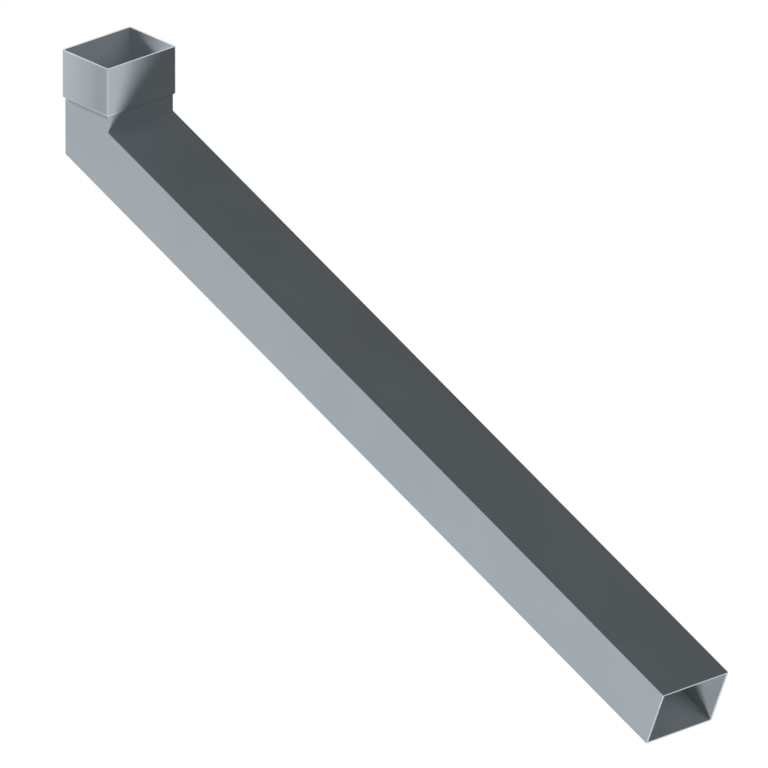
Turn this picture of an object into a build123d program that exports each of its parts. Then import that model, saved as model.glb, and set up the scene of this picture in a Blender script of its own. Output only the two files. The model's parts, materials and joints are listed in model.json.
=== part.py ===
from build123d import *
from math import cos, radians, sin, tan
import os

os.makedirs("parts", exist_ok=True)

# Rectangular downpipe elbow with a long tail. Sizes are in millimetres, angles in degrees.
# The origin is the middle of the socket's mouth, which is level and faces +Z.
# The tail leaves towards +X and slopes down, and the pipe's wider sides face up and down the slope.

# Pipe, outside sizes of its section
pipe_width = 100.0  # along Y
pipe_depth = 75.0  # along X in the neck
wall = 2.3
pipe_corner_radius = 0.6  # long edges, outside
bore_corner_radius = 0.6  # long edges, inside

# Socket, formed outwards from the pipe so that the next pipe's end fits inside
socket_depth = 59.5  # from the mouth to the underside of its step
fit_clearance = 0.5  # between the socket and the pipe inside it, on each side
socket_corner_radius = 3.2  # upright edges, outside
step_radius = 2.2  # lower edges of the socket, outside
lip_radius = 1.0  # inner edge of the ledge, where the neck's bore begins

# Neck, bend and tail
neck_length = 20.8  # from the step to the bend's inner corner
bend_angle = 67.5  # turn from the neck into the tail
tail_length = 1059.5  # along the centre line, from the mitre to the cut end

# Sections that follow from the pipe
bore_width = pipe_width - 2 * wall
bore_depth = pipe_depth - 2 * wall
cavity_width = pipe_width + 2 * fit_clearance
cavity_depth = pipe_depth + 2 * fit_clearance
socket_width = cavity_width + 2 * wall
socket_outer_depth = cavity_depth + 2 * wall
cavity_corner_radius = max(socket_corner_radius - wall, bore_corner_radius)
step_edge_radius = min(step_radius, 0.9 * (wall + fit_clearance))

# The centre line turns on the mitre plane, which halves the bend
step_level = -socket_depth
ledge_level = step_level + wall
mitre_level = step_level - neck_length - pipe_depth / 2 * tan(radians(bend_angle / 2))
mitre_centre = Vector(0, 0, mitre_level)
tail_direction = Vector(sin(radians(bend_angle)), 0, -cos(radians(bend_angle)))
tail_end = mitre_centre + tail_direction * tail_length


with BuildPart() as elbow:
    # Neck and tail: one pipe section carried down the neck and along the tail, sharp at the mitre
    with BuildLine() as centre_line:
        Polyline((0, 0, step_level), mitre_centre, tail_end)
    with BuildSketch(Plane.XY.offset(step_level)):
        RectangleRounded(pipe_depth, pipe_width, pipe_corner_radius)
        RectangleRounded(bore_depth, bore_width, bore_corner_radius, mode=Mode.SUBTRACT)
    sweep(path=centre_line.wire(), transition=Transition.RIGHT)

    # Step: the ring that widens the neck into the socket, one wall thick
    with BuildSketch(Plane.XY.offset(step_level)):
        RectangleRounded(socket_outer_depth, socket_width, socket_corner_radius)
        RectangleRounded(bore_depth, bore_width, bore_corner_radius, mode=Mode.SUBTRACT)
    extrude(amount=wall)

    # Socket: upright walls from the step to the mouth
    with BuildSketch(Plane.XY.offset(ledge_level)):
        RectangleRounded(socket_outer_depth, socket_width, socket_corner_radius)
        RectangleRounded(cavity_depth, cavity_width, cavity_corner_radius, mode=Mode.SUBTRACT)
    extrude(amount=-ledge_level)

    # Rounded folds: under the socket all round, and at the ledge's inner lip
    ledge = elbow.faces().filter_by(Plane.XY).sort_by(Axis.Z)[1]
    fillet(ledge.inner_wires()[0].edges(), radius=lip_radius)
    underside = elbow.faces().filter_by(Plane.XY).sort_by(Axis.Z).first
    fillet(underside.outer_wire().edges(), radius=step_edge_radius)

elbow.part.label = "elbow"
export_step(elbow.part, "parts/elbow.step")

print("socket outside", socket_outer_depth, "by", socket_width, "mm, inside", cavity_depth, "by", cavity_width)
print("mitre centre", tuple(round(v, 2) for v in mitre_centre), "tail end", tuple(round(v, 2) for v in tail_end))
print("volume", round(elbow.part.volume / 1000, 1), "cm3")
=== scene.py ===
# %% [markdown]
# A long tail downpipe elbow
#
# On a house wall this piece takes rainwater from an upright downpipe and carries it away on a slope.
# It is made of thin aluminium: a short neck with a widened socket on top, a sharp bend, and a straight
# tail about a metre long that is sawn off square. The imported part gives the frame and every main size.
# Here it gets its skin, its satin coat with bare sawn ends, and the light and camera of a product picture.

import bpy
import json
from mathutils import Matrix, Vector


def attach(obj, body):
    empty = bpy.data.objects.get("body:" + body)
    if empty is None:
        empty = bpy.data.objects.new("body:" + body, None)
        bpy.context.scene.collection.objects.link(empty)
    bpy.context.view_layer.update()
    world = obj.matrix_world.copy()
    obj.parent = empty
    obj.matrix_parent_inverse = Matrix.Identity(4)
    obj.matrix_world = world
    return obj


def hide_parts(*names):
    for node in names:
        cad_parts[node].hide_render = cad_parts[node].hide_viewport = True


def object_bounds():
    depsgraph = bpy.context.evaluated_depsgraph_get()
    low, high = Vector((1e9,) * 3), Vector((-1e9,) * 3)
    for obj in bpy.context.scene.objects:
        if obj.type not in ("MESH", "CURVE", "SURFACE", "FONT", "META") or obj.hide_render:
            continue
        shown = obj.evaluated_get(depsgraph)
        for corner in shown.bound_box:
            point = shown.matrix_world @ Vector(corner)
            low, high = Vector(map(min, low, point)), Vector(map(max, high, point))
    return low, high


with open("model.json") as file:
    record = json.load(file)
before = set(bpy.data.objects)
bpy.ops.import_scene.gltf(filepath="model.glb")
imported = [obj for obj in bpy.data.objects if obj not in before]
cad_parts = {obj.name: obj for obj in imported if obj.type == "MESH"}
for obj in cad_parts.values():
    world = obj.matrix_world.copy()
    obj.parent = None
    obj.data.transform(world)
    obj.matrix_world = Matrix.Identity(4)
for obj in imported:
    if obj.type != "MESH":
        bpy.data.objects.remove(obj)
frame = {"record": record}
cad_low, cad_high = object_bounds()
print("CAD box, metres:", tuple(round(v, 4) for v in (*cad_low, *cad_high)))

# %% [markdown]
# Sizes
#
# The skin has to lie exactly on the solid, so no main size is typed in again. The bend's angle and the
# tail's length come from the place and direction of the tail's mount. The pipe's section, the wall and the
# socket's clearance come from the box and from where the mounts sit on the rim and the ledge. Only the
# small radii, which no mount gives, are named values. All lengths are in metres.

# %% Work out the pipe from its mounts and its box
from math import cos, degrees, pi, radians, sin, tan

import bpy
import numpy as np
from mathutils import Vector

mounts = {mount["name"]: mount for mount in frame["record"]["mounts"]}
place = {name: np.array(mount["pos_m"]) for name, mount in mounts.items()}
down_tail = np.array(mounts["tail_end"]["axis"])
bend = np.arctan2(down_tail[0], -down_tail[2])
tail_length = place["tail_end"][0] / down_tail[0]
mitre_level = place["tail_end"][2] - tail_length * down_tail[2]

socket_half = np.array([-cad_low.x, cad_high.y])  # half of its depth and of its width, outside
wall = 2 * (socket_half[0] - place["rim"][0])  # the rim's mount is in the middle of the wall
pipe_half_depth = (cad_high.x - place["tail_end"][0]) / cos(bend)
clearance = socket_half[0] - wall - pipe_half_depth
pipe_half = socket_half - wall - clearance
ledge_level = place["ledge"][2]
step_level = ledge_level - wall

mm = 1000.0  # in a metre
pipe_depth_mm, pipe_width_mm = 2 * mm * pipe_half
print(f"pipe {pipe_depth_mm:.1f} x {pipe_width_mm:.1f} mm, wall {mm * wall:.2f} mm")
print(f"bend {degrees(bend):.1f} degrees, tail {mm * tail_length:.0f} mm")
print(f"socket {-mm * step_level:.1f} mm deep, {mm * clearance:.1f} mm clear of the pipe it takes")

# %% [markdown]
# Camera
#
# A catalogue picture of a long part has no perspective: parallel edges stay parallel. An orthographic
# camera would do, but it keeps its scale when it is moved round the object, and then cuts the long side
# off. A very long lens a long way off looks the same and can be moved, so that is what is used.

# %% Place a long-lens camera at the picture's angle
picture_size = 768  # pixels a side
picture_scale = 871.8  # pixels per metre at the aim
camera_turn = radians(48.286)  # from the front, towards +X
camera_height = radians(23.11)  # up from level
aim = Vector((0.4592, 0.0, -0.275))  # the point in the middle of the picture
lens = 1680.0  # millimetres
sensor = 36.0  # millimetres
nearest_seen = 1.0

towards_camera = Vector((
    sin(camera_turn) * cos(camera_height),
    -cos(camera_turn) * cos(camera_height),
    sin(camera_height),
))
camera_distance = lens / sensor * picture_size / picture_scale
camera_data = bpy.data.cameras.new("long_lens")
camera_data.lens = lens
camera_data.sensor_width = sensor
camera_data.clip_start = nearest_seen
camera_data.clip_end = 2 * camera_distance
camera = bpy.data.objects.new("camera", camera_data)
camera.location = aim + towards_camera * camera_distance
camera.rotation_mode = "QUATERNION"
camera.rotation_quaternion = (-towards_camera).to_track_quat("-Z", "Y")
bpy.context.scene.collection.objects.link(camera)
bpy.context.scene.camera = camera
print(f"camera {camera_distance:.1f} m away")

# %% [markdown]
# Outline of the pipe
#
# Every section of this piece is a rectangle with rounded corners. Blender could draw each as a curve of
# its own, but one function can serve them all. It gives as many points for a 0.6 mm corner as for the
# socket's large one, and that lets sections of different size be joined point to point.

# %% A rounded rectangle as arrays
corner_steps = 8
side_steps = 12
points_round = 4 * (corner_steps + side_steps)
corner_signs = np.array([[1, 1], [-1, 1], [-1, -1], [1, -1]])


def outline(half, corner, crown=0.0):
    """Points and outward directions of a rounded rectangle, walked once round from +X towards +Y.

    A corner's point is its middle + corner * (cos a, sin a), with a = (quarter + t) * 90 degrees and t
    from 0 to 1. A side's point is its start + s * (its end - its start), with s between 0 and 1.
    The directions turn by 90 degrees - 2 * crown over a corner and by 2 * crown over a side, as on a
    sheet that bulges a little between its corners.
    """
    quarter = np.arange(4)[:, None]
    t = np.linspace(0, 1, corner_steps + 1)[None]
    s = np.linspace(0, 1, side_steps + 1)[1:-1]
    angle = (quarter + t) * pi / 2
    middle = (np.asarray(half) - corner) * corner_signs
    arc = middle[:, None] + corner * np.stack([np.cos(angle), np.sin(angle)], -1)
    start = arc[:, -1:]
    end = np.roll(arc, -1, axis=0)[:, :1]
    side = start + s[None, :, None] * (end - start)
    points = np.concatenate([arc, side], 1).reshape(-1, 2)

    arc_facing = quarter * pi / 2 + crown + t * (pi / 2 - 2 * crown)
    side_facing = (quarter + 1) * pi / 2 - crown + 2 * crown * s[None]
    facing = np.concatenate([arc_facing, side_facing], 1).ravel()
    return points, np.stack([np.cos(facing), np.sin(facing)], -1)


print(points_round, "points round each section")

# %% [markdown]
# Profile of the wall
#
# Cut lengthwise, the wall is one closed line: up the outside of the tail and the neck, out under the
# socket, round its fold, up to the rim, over it, down the socket to the ledge, over the lip, and down the
# bore to the sawn end. A single sheet with a Solidify modifier would be quicker, but then the fold, the lip
# and the cut edges couldn't each have a radius of their own, so the line is written out row by row.
#
# A row says how far the section has grown from the pipe's outside, its corner radius and where it lies
# along the pipe. The rest is about the band up to the next row: which way it faces where it leaves the
# row and where it arrives at the next, how much its sides bulge, and its finish. Facings are in degrees,
# from 0, away from the pipe's axis, to 90, up the pipe. Where a band leaves with another facing than the
# last one arrived with, there is a sharp edge, and otherwise the surface runs on.

# %% What a row holds
from collections import namedtuple

Row = namedtuple("Row", "grow corner along where leaving arriving crown finish")
IN_NECK, AT_MITRE, IN_TAIL = range(3)
# RIM's finish carries a painted highlight, LINING's painted light and BORE's painted shade
COAT, RIM, SAWN_END, LINING, BORE = range(5)
OUTWARDS, UP, INWARDS, DOWN = 0, 90, 180, -90
OUTSIDE, INSIDE = -1, 1
fold_steps = 6


def rounded(side, radius, grow, corner, level, crown):
    """Coated rows round a quarter turn in the neck, from a level face to the upright one at grow.

    Where the turn has come to angle a, the section has grown by side * radius * (1 - sin a), its corner
    as much, and it lies side * radius * (1 - cos a) below the level. It faces a + side * 90 degrees.
    """
    turn = np.linspace(0, pi / 2, fold_steps + 1)
    rows = []
    for a, b in zip(turn[:-1], turn[1:]):
        back = side * radius * (1 - sin(a))
        below = side * radius * (1 - cos(a))
        leaving = degrees(a) + side * UP
        arriving = degrees(b) + side * UP
        rows.append(Row(grow + back, corner + back, level - below, IN_NECK, leaving, arriving, crown, COAT))
    return rows


print("a row holds:", ", ".join(Row._fields))

# %% [markdown]
# The rows themselves
#
# The socket was formed outwards from the pipe, which left its corners rounder than the pipe's. Light
# fades across its faces as if they bulged a little, though their edges are straight. So the shape stays
# flat, as the solid is, and only the directions of the faces follow such a bulge. The two cuts are
# deburred, and the small broken edges keep them from looking like paper.

# %% The rows of the profile
socket_corner = 0.0032
pipe_corner = 0.0006
bore_corner = 0.0006
step_round = 0.0022
lip_round = 0.001
deburr = 0.00025
flat = 0.0
face_crown = radians(14.0)  # the socket's faces
lining_crown = radians(15.0)  # and its inside

socket_grow = clearance + wall
cavity_grow = clearance
bore_grow = -wall
cavity_corner = socket_corner - wall

profile = [
    Row(0.0, pipe_corner, tail_length - deburr, IN_TAIL, OUTWARDS, OUTWARDS, flat, COAT),
    Row(0.0, pipe_corner, 0.0, AT_MITRE, OUTWARDS, OUTWARDS, flat, COAT),
    Row(0.0, pipe_corner, step_level, IN_NECK, DOWN, DOWN, flat, COAT),
    *rounded(OUTSIDE, step_round, socket_grow, socket_corner, step_level, face_crown),
    Row(socket_grow, socket_corner, step_level + step_round, IN_NECK, OUTWARDS, OUTWARDS, face_crown, COAT),
    Row(socket_grow, socket_corner, -deburr, IN_NECK, OUTWARDS, UP, face_crown, RIM),
    Row(socket_grow - deburr, socket_corner - deburr, 0.0, IN_NECK, UP, UP, flat, RIM),
    Row(cavity_grow + deburr, cavity_corner + deburr, 0.0, IN_NECK, UP, INWARDS, face_crown, RIM),
    Row(cavity_grow, cavity_corner, -deburr, IN_NECK, INWARDS, INWARDS, lining_crown, LINING),
    Row(cavity_grow, cavity_corner, ledge_level, IN_NECK, UP, UP, flat, COAT),
    *rounded(INSIDE, lip_round, bore_grow, bore_corner, ledge_level, flat),
    Row(bore_grow, bore_corner, ledge_level - lip_round, IN_NECK, INWARDS, INWARDS, flat, BORE),
    Row(bore_grow, bore_corner, 0.0, AT_MITRE, INWARDS, INWARDS, flat, BORE),
    Row(bore_grow, bore_corner, tail_length - deburr, IN_TAIL, INWARDS, DOWN, flat, SAWN_END),
    Row(bore_grow + deburr, bore_corner, tail_length, IN_TAIL, DOWN, DOWN, flat, SAWN_END),
    Row(-deburr, pipe_corner - deburr, tail_length, IN_TAIL, DOWN, OUTWARDS, flat, SAWN_END),
]
print(len(profile), "rows in the wall's profile")

# %% [markdown]
# From rows to rings
#
# A row becomes a ring of points in space. In the neck the section is level, so its points only move up or
# down. In the tail it stands square to the slope. On the mitre, the plane that halves the bend, both
# agree: the neck's upright lines simply end where they meet that slanting plane. A Curve modifier could
# bend a straight pipe, but it would round the bend off. Here the fold stays sharp, as on a pipe that is
# cut on the mitre.

# %% Rings in space
across_tail = np.array([cos(bend), 0.0, sin(bend)])  # the section's X direction once it is in the tail
sideways = np.array([0.0, 1.0, 0.0])
mitre_middle = np.array([0.0, 0.0, mitre_level])


def ring(row):
    """The points of a row's section in space.

    In the neck: (x, y, along). On the mitre: (x, y, mitre level + x * tan(bend / 2)).
    In the tail: mitre middle + along * down_tail + x * across_tail + y * sideways.
    """
    x, y = outline(pipe_half + row.grow, row.corner)[0].T
    if row.where == IN_TAIL:
        return mitre_middle + row.along * down_tail + np.outer(x, across_tail) + np.outer(y, sideways)
    if row.where == AT_MITRE:
        z = mitre_level + x * tan(bend / 2)
    else:
        z = np.full_like(x, row.along)
    return np.stack([x, y, z], -1)


rings = np.stack([ring(row) for row in profile])
print("skin grid", rings.shape)

# %% [markdown]
# Which way the skin faces
#
# Blender can work out smooth shading by itself, but across a sharp fold it would smear the light. The
# profile already says how each band faces at both its ends, so those directions are worked out for every
# point and handed to the mesh.

# %% Directions of the bands
def facings(in_tail, facing, crown):
    """Surface directions round a ring: cos(facing) * outward + sin(facing) * up the pipe.

    Outward is the outline's own direction there, stood square to the neck or to the tail.
    """
    out_x, out_y = outline(pipe_half, pipe_corner, crown)[1].T
    side = across_tail if in_tail else np.array([1.0, 0.0, 0.0])
    up = -down_tail if in_tail else np.array([0.0, 0.0, 1.0])
    outward = np.outer(out_x, side) + np.outer(out_y, sideways)
    return cos(radians(facing)) * outward + sin(radians(facing)) * up


next_rows = profile[1:] + profile[:1]
lies_in_tail = [
    row.where == IN_TAIL or (row.where == AT_MITRE and next_row.where == IN_TAIL)
    for row, next_row in zip(profile, next_rows)
]
leaving = np.stack([facings(tail, row.leaving, row.crown) for tail, row in zip(lies_in_tail, profile)])
arriving = np.stack([facings(tail, row.arriving, row.crown) for tail, row in zip(lies_in_tail, profile)])
print(sum(lies_in_tail), "bands in the tail,", len(profile) - sum(lies_in_tail), "in the neck")

# %% [markdown]
# The mesh
#
# The grid closes both ways, like a ring doughnut, so the shell has an inside, an outside and no loose
# edge. Each face takes its corners' directions from the profile, and so the flat faces shade flat, the
# folds shade round and the mitre stays a crisp line, with no need for a modifier.

# %% Put the grid into a mesh
def face_corners(rows, columns):
    """Row v and column u of each face's corners: (v, u), (v, u + 1), (v + 1, u + 1) and (v + 1, u)."""
    v, u = np.meshgrid(np.arange(rows), np.arange(columns), indexing="ij")
    return np.stack([v, v, v + 1, v + 1], -1), np.stack([u, u + 1, u + 1, u], -1)


def shell_mesh(name, rings, leaving, arriving):
    """A quad grid that closes both ways: after the last row or column comes the first again.

    A face's first two corners face as its band leaves its row, the other two as it arrives at the next.
    """
    rows, columns = rings.shape[:2]
    v, u = face_corners(rows, columns)
    corners = ((v % rows) * columns + u % columns).reshape(-1, 4)
    mesh = bpy.data.meshes.new(name)
    mesh.from_pydata(rings.reshape(-1, 3).tolist(), [], corners.tolist())
    mesh.polygons.foreach_set("use_smooth", np.ones(len(corners), bool))
    band = v[..., :1]
    column = u % columns
    directions = np.concatenate([leaving[band, column[..., :2]], arriving[band, column[..., 2:]]], 2)
    mesh.normals_split_custom_set(directions.reshape(-1, 3))
    return mesh


elbow_mesh = shell_mesh("elbow_shell", rings, leaving, arriving)
print(len(elbow_mesh.vertices), "points,", len(elbow_mesh.polygons), "faces")

# %% [markdown]
# A map of the sheet
#
# Rolling and drawing leave faint lines that run along the sheet, round the bend and all. A texture in
# plain space couldn't follow them. So the mesh gets coordinates that measure the sheet itself, round the
# pipe and along it, in metres.

# %% Lay the map on the mesh
def sheet_map(mesh, rings):
    """Coordinates in metres for every face's corners.

    Across is the distance walked round the pipe's outline, along is the distance walked down the wall's
    profile, as a mean over all the columns.
    """
    base = outline(pipe_half, pipe_corner)[0]
    steps_across = np.linalg.norm(np.roll(base, -1, axis=0) - base, axis=1)
    steps_along = np.linalg.norm(np.roll(rings, -1, axis=0) - rings, axis=2).mean(1)
    across = np.concatenate([[0], np.cumsum(steps_across)])
    along = np.concatenate([[0], np.cumsum(steps_along)])
    v, u = face_corners(*rings.shape[:2])
    uv = np.stack([across[u], along[v]], -1)
    layer = mesh.uv_layers.new(name="sheet")
    layer.uv.foreach_set("vector", uv.astype(np.float32).ravel())
    return across[-1], along[-1]


once_round, once_along = sheet_map(elbow_mesh, rings)
print(f"{once_round:.3f} m round the pipe, {once_along:.3f} m round the wall's whole profile")

# %% [markdown]
# The piece
#
# The whole elbow is one rigid piece of metal on the real object, so the skin is one piece too. It stands
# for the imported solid, which is then left out of the picture, and it moves with the part's own frame.

# %% Make the piece
elbow_shell = bpy.data.objects.new("elbow_shell", elbow_mesh)
bpy.context.scene.collection.objects.link(elbow_shell)
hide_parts("elbow")
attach(elbow_shell, "root")
print(elbow_shell.name, len(elbow_mesh.polygons), "faces, valid:", not elbow_mesh.validate())

# %% [markdown]
# Building blocks for the finishes
#
# Each finish is a small tree of shader nodes. They could be put together by hand in the shader editor.
# In a script, four short functions keep the trees readable: one starts a material, one adds a node with
# its inputs, one makes noise, and one spreads a value over a range.

# %% Helpers for shader nodes
def new_material(name):
    """A material, its node tree and its shader."""
    material = bpy.data.materials.new(name)
    material.use_nodes = True
    tree = material.node_tree
    return material, tree, tree.nodes["Principled BSDF"]


def add(tree, kind, **values):
    """A new node with its input sockets set by name; underscores stand for spaces."""
    node = tree.nodes.new(kind)
    for name, value in values.items():
        socket = node.inputs[name.replace("_", " ")]
        if isinstance(value, bpy.types.NodeSocket):
            tree.links.new(value, socket)
        else:
            socket.default_value = value
    return node


def noise(tree, position, scale, detail):
    """Soft random values from 0 to 1, with about scale of them to a unit of the position."""
    return add(tree, "ShaderNodeTexNoise", Vector=position, Scale=scale, Detail=detail).outputs["Fac"]


def ranged(tree, value, low, high):
    """A 0 to 1 value spread between low and high."""
    return add(tree, "ShaderNodeMapRange", Value=value, To_Min=low, To_Max=high).outputs["Result"]


print("helpers ready")

# %% [markdown]
# Satin coat
#
# Aluminium downpipe is usually powder coated: a plain satin grey with a very fine orange peel, and under
# it the faint lines of the sheet. A photograph of such a coat would repeat and show seams, so the coat is
# made of noise. Two small bumps make its skin, one even in all directions and one stretched along the
# sheet. A slow, faint change of tone and gloss keeps the large flat faces from looking like plastic film.

# %% Nodes of the satin coat
coat_ior = 1.5
cloud_scale = 11.0  # soft clouds of tone, to the metre
cloud_detail = 3.0
cloud_range = (0.3, 0.7)  # the noise values that get the darkest and the palest tone
tone_spread = 0.03  # share of the tone, to either side
gloss_spread = 0.05  # of the roughness, to either side
peel_scale = 520.0  # to the metre
line_scale = (1400.0, 9.0, 1.0)  # to the metre, across and along the sheet
fine_detail = 2.0
bump_strength = 0.25
line_height = 0.00002
peel_height = 0.00003


def bump(tree, **values):
    """Surface directions that follow a height, Distance metres high where the height is 1."""
    return add(tree, "ShaderNodeBump", Strength=bump_strength, **values).outputs["Normal"]


def satin_coat(name, tone, roughness):
    """A coat whose tone drifts in soft clouds and whose gloss follows the lines of the sheet."""
    material, tree, shader = new_material(name)
    shader.inputs["IOR"].default_value = coat_ior
    in_space = tree.nodes.new("ShaderNodeTexCoord").outputs["Object"]
    on_sheet = tree.nodes.new("ShaderNodeUVMap")
    on_sheet.uv_map = "sheet"
    sheet = on_sheet.outputs["UV"]
    stretched = add(tree, "ShaderNodeMapping", Vector=sheet, Scale=line_scale).outputs["Vector"]
    clouds = noise(tree, in_space, cloud_scale, cloud_detail)
    peel = noise(tree, in_space, peel_scale, fine_detail)
    lines = noise(tree, stretched, 1.0, fine_detail)

    ramp = add(tree, "ShaderNodeValToRGB", Fac=clouds)
    shares = (1 - tone_spread, 1 + tone_spread)
    for element, share, position in zip(ramp.color_ramp.elements, shares, cloud_range):
        element.color = (*(share * c for c in tone), 1.0)
        element.position = position
    tree.links.new(ramp.outputs["Color"], shader.inputs["Base Color"])
    gloss = ranged(tree, lines, roughness - gloss_spread, roughness + gloss_spread)
    tree.links.new(gloss, shader.inputs["Roughness"])

    lined = bump(tree, Height=lines, Distance=line_height)
    skin = bump(tree, Height=peel, Distance=peel_height, Normal=lined)
    tree.links.new(skin, shader.inputs["Normal"])
    return material


coat = satin_coat("grey_satin_coat", tone=(0.473, 0.52, 0.554), roughness=0.5)
print("coat", coat.name)

# %% [markdown]
# Bare ends
#
# The rim of the socket and the end of the tail are sawn after coating, so they show bare metal. The rim's
# tone is near white and paler than the end's: it is bare metal with a painted highlight along the rim.
# Polished metal would mirror its plain surroundings and turn dark, but a saw leaves fine marks that scatter
# light. So both are rough and pale, and only the tail's end keeps a little of the metal's mirror.

# %% Nodes of the sawn metal
mark_scale = 900.0  # saw marks, to the metre
mark_roughness = (0.38, 0.5)  # from the smoothest to the roughest mark


def sawn_metal(name, tone, metallic):
    """One even tone, with a roughness that follows fine noise."""
    material, tree, shader = new_material(name)
    shader.inputs["Base Color"].default_value = (*tone, 1.0)
    shader.inputs["Metallic"].default_value = metallic
    in_space = tree.nodes.new("ShaderNodeTexCoord").outputs["Object"]
    marks = noise(tree, in_space, mark_scale, fine_detail)
    tree.links.new(ranged(tree, marks, *mark_roughness), shader.inputs["Roughness"])
    return material


# near white: bare metal plus a painted highlight along the rim
bare_rim = sawn_metal("bare_rim", tone=(0.95, 0.98, 1.0), metallic=0.0)
bare_end = sawn_metal("bare_sawn_end", tone=(0.62, 0.66, 0.69), metallic=0.3)
print("bare metal:", bare_rim.name, bare_end.name)

# %% [markdown]
# The inside, and who gets which finish
#
# The inside of the socket is the same coat painted paler, as painted light, and the bore behind it is the
# same coat painted darker, as painted shade. Each also has a gloss of its own. The finishes could be pieces
# of their own, but then they would have to meet the skin edge to edge. Here they share one mesh, and each
# band of the grid carries the number of its finish.

# %% Give each band its finish
# paler tone: painted light inside the socket
lining = satin_coat("thin_coat_in_socket", tone=(0.55, 0.59, 0.615), roughness=0.45)
# darker tone: painted shade in the bore
bore = satin_coat("dull_coat_in_bore", tone=(0.44, 0.47, 0.49), roughness=0.55)
finishes = {COAT: coat, RIM: bare_rim, SAWN_END: bare_end, LINING: lining, BORE: bore}
for number in sorted(finishes):
    elbow_mesh.materials.append(finishes[number])

band_finish = np.array([row.finish for row in profile], np.int32)
elbow_mesh.polygons.foreach_set("material_index", np.repeat(band_finish, points_round))
print("bands with each finish:", np.bincount(band_finish).tolist())

# %% [markdown]
# Floor
#
# The floor is plain and white like the paper of a photo studio, well below the piece, which hangs from
# its socket. A white coat of paint would need its own light to look white, so the floor glows by itself.
# It is only there to be seen: it lights nothing, mirrors in nothing, and lets a lamp shine up through it.

# %% Floor
floor_level = -1.2
floor_reach = 60.0  # to each side
black = (0.0, 0.0, 0.0, 1.0)
white = (1.0, 1.0, 1.0, 1.0)

floor_points = [(x, y, floor_level) for x, y in (floor_reach * corner_signs).tolist()]
floor_mesh = bpy.data.meshes.new("floor")
floor_mesh.from_pydata(floor_points, [], [(0, 1, 2, 3)])
floor = bpy.data.objects.new("floor", floor_mesh)
bpy.context.scene.collection.objects.link(floor)
paper, _, paper_shader = new_material("white_floor")
paper_shader.inputs["Base Color"].default_value = black
paper_shader.inputs["Specular IOR Level"].default_value = 0.0
paper_shader.inputs["Emission Color"].default_value = white
paper_shader.inputs["Emission Strength"].default_value = 1.0
floor_mesh.materials.append(paper)
floor.visible_diffuse = False
floor.visible_glossy = False
floor.visible_shadow = False
print(f"floor {2 * floor_reach:.0f} m wide, {cad_low.z - floor_level:.2f} m under the piece")

# %% [markdown]
# Lamps
#
# Large soft boxes near the piece would light a part of this length unevenly. Lamps that are very far off
# light all of it alike, so that each flat face has one even tone, as in the picture. There are four.
# A broad one low in front lights the near side and the tail's end. A small one high on the left lights the
# rim and draws the slanting shadow inside the socket. One behind keeps the back readable. These three all
# but miss the top of the tail, which has to stay dark, and a faint, very broad one high on the right keeps
# it from going black.

# %% Four far lamps
coat_grey = 0.52  # the coat's middle tone, which turns a wanted brightness into a lamp's strength


def lamp(name, towards, brightness, spread, tint):
    """A far, broad lamp: towards points from the piece to it, and spread is its width in degrees.

    Its strength is brightness * pi / coat_grey, and so a coated face square to it shows that brightness.
    """
    data = bpy.data.lights.new(name, "SUN")
    data.energy = brightness * pi / coat_grey
    data.angle = radians(spread)
    data.color = tint
    light = bpy.data.objects.new(name, data)
    light.rotation_mode = "QUATERNION"
    light.rotation_quaternion = (-Vector(towards)).normalized().to_track_quat("-Z", "Y")
    bpy.context.scene.collection.objects.link(light)


lamp(
    "low_front_lamp", towards=(0.460, -0.357, -0.813),
    brightness=0.67, spread=24.0, tint=(0.985, 1.0, 1.012),
)
lamp(
    "high_left_lamp", towards=(-0.91, -0.16, 0.365),
    brightness=0.75, spread=5.0, tint=(0.975, 1.0, 1.025),
)
lamp(
    "rear_lamp", towards=(-0.22, 0.97, 0.09),
    brightness=0.40, spread=6.0, tint=(0.97, 1.0, 1.03),
)
lamp(
    "high_right_lamp", towards=(0.72, 0.25, 0.47),
    brightness=0.0435, spread=40.0, tint=(0.95, 1.0, 1.02),
)

# %% [markdown]
# Light all round
#
# In a white room a little light comes from every side, and it keeps the shaded faces from going black.
# The room itself has to look pure white, though, and a world that bright would wash all shading out.
# So the world has two faces: the camera sees white, and the piece gets a weak, slightly cool light.

# %% The world
room_brightness = 0.045
room_tint = (0.968, 1.0, 1.034, 1.0)

world = bpy.data.worlds.new("studio")
bpy.context.scene.world = world
world.use_nodes = True
world_tree = world.node_tree
world_tree.nodes.clear()
weak_light = add(world_tree, "ShaderNodeBackground", Color=room_tint, Strength=room_brightness / coat_grey)
backdrop = add(world_tree, "ShaderNodeBackground", Color=white, Strength=1.0)
is_seen = world_tree.nodes.new("ShaderNodeLightPath").outputs["Is Camera Ray"]
mix = add(world_tree, "ShaderNodeMixShader", Fac=is_seen)
_, for_the_piece, for_the_camera = mix.inputs[:3]
world_tree.links.new(weak_light.outputs["Background"], for_the_piece)
world_tree.links.new(backdrop.outputs["Background"], for_the_camera)
add(world_tree, "ShaderNodeOutputWorld", Surface=mix.outputs["Shader"])
bpy.context.scene.view_settings.view_transform = "Standard"  # keeps pure white pure
print("world:", world.name, "with", len(world_tree.nodes), "nodes")

# %% [markdown]
# Finish
#
# The dressed piece must not be larger than the solid.

# %% Finish
import json
